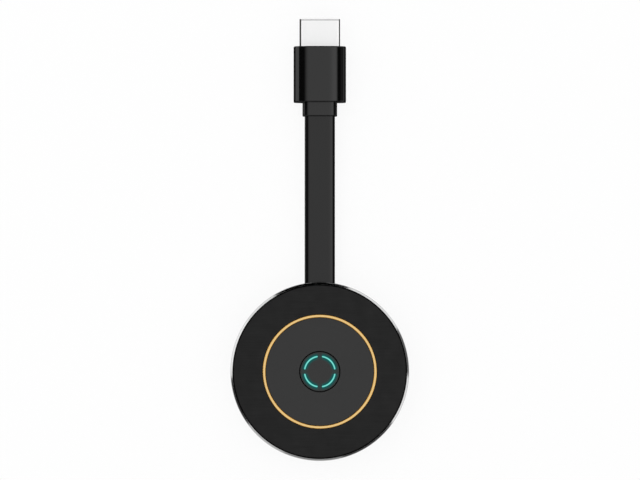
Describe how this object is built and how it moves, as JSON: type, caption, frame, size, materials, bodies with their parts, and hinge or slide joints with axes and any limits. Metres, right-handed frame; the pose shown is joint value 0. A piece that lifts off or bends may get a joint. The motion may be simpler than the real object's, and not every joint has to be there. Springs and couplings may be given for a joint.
{
  "type": "wifi display dongle",
  "caption": "Round flat wireless display receiver with a lit push button, a short flat cable and a plug for a screen's socket.",
  "frame": {"origin": "centre of the disc on its rear face, which lies on the surface", "axes": "+Z out of the disc's front face, +Y along the cable from the disc to the plug's tip, +X to the right seen from the front"},
  "size_m": [0.061, 0.1512, 0.011],
  "materials": {
    "case_black": "moulded black plastic with a fine satin texture",
    "rim_chrome": "bright plated trim",
    "face_brushed": "black anodised, finely brushed straight across",
    "accent_gold": "polished gold colour",
    "panel_satin": "smooth satin charcoal",
    "button_satin": "smooth satin charcoal",
    "light_teal": "clear moulding lit in teal",
    "switch_plastic": "moulded black",
    "spring_steel": "thin spring sheet",
    "board_green": "glass fibre laminate with solder mask",
    "board_blue": "glass fibre laminate with solder mask",
    "chip_black": "moulded epoxy",
    "pad_grey": "soft silicone",
    "sink_aluminium": "extruded, plain",
    "can_tin": "tinned sheet",
    "contact_gold": "gold plated",
    "inductor_grey": "pressed ferrite",
    "capacitor_tan": "fired ceramic",
    "lamp_white": "moulded lamp",
    "insulator_black": "moulded black",
    "screw_steel": "dark zinc",
    "cable_black": "smooth semi-gloss jacket",
    "conductor_copper": "bare conductor",
    "boot_black": "smooth gloss moulding",
    "plug_gloss": "smooth gloss moulding",
    "core_white": "plain inner moulding",
    "plug_steel": "bright plated sheet"
  },
  "bodies": {
    "receiver": {"rear_cover": "case_black", "front_shell": "case_black", "rim_ring": "rim_chrome", "face_ring": "face_brushed", "accent_ring": "accent_gold", "centre_panel": "panel_satin", "switch_dome": "spring_steel", "switch_body": "switch_plastic", "circuit_board": "board_green", "processor": "chip_black", "thermal_pad": "pad_grey", "heat_sink": "sink_aluminium", "memory_chips": "chip_black", "flash_chip": "chip_black", "wireless_module": "board_blue", "wireless_shield": "can_tin", "antennas": "contact_gold", "crystal": "can_tin", "power_inductors": "inductor_grey", "capacitors": "capacitor_tan", "indicator_lamps": "lamp_white", "socket_shell": "can_tin", "socket_tongue": "insulator_black", "socket_contacts": "contact_gold", "case_screws": "screw_steel", "cable_grommet": "cable_black", "board_wires": "conductor_copper"},
    "button": {"button_cap": "button_satin", "light_guide": "light_teal", "switch_plunger": "switch_plastic"},
    "cable": {"flat_cable": "cable_black"},
    "plug": {"plug_boot": "boot_black", "plug_housing": "plug_gloss", "plug_core": "core_white", "plug_wires": "conductor_copper", "plug_shell": "plug_steel", "plug_insulator": "insulator_black", "plug_contacts": "contact_gold"}
  },
  "joints": [
    {"name": "button_press", "type": "slide", "parent": "receiver", "child": "button", "axis": [0, 0, -1], "range_m": [0, 0.0003], "stiffness_N_per_m": 1000, "springref_m": -0.001, "deforming": ["switch_dome"]},
    {"name": "cable_bend_root", "type": "hinge", "parent": "receiver", "child": "cable", "pos_m": [0, 0.0445, 0.005], "axis": [1, 0, 0], "range_deg": [-60, 60], "deforming": ["flat_cable"]},
    {"name": "cable_bend_tip", "type": "hinge", "parent": "cable", "child": "plug", "pos_m": [0, 0.0731, 0.005], "axis": [1, 0, 0], "range_deg": [-60, 60], "deforming": ["flat_cable"]}
  ],
  "couplings": [
    {"joint": "cable_bend_tip", "follows": "cable_bend_root", "ratio": 1}
  ]
}
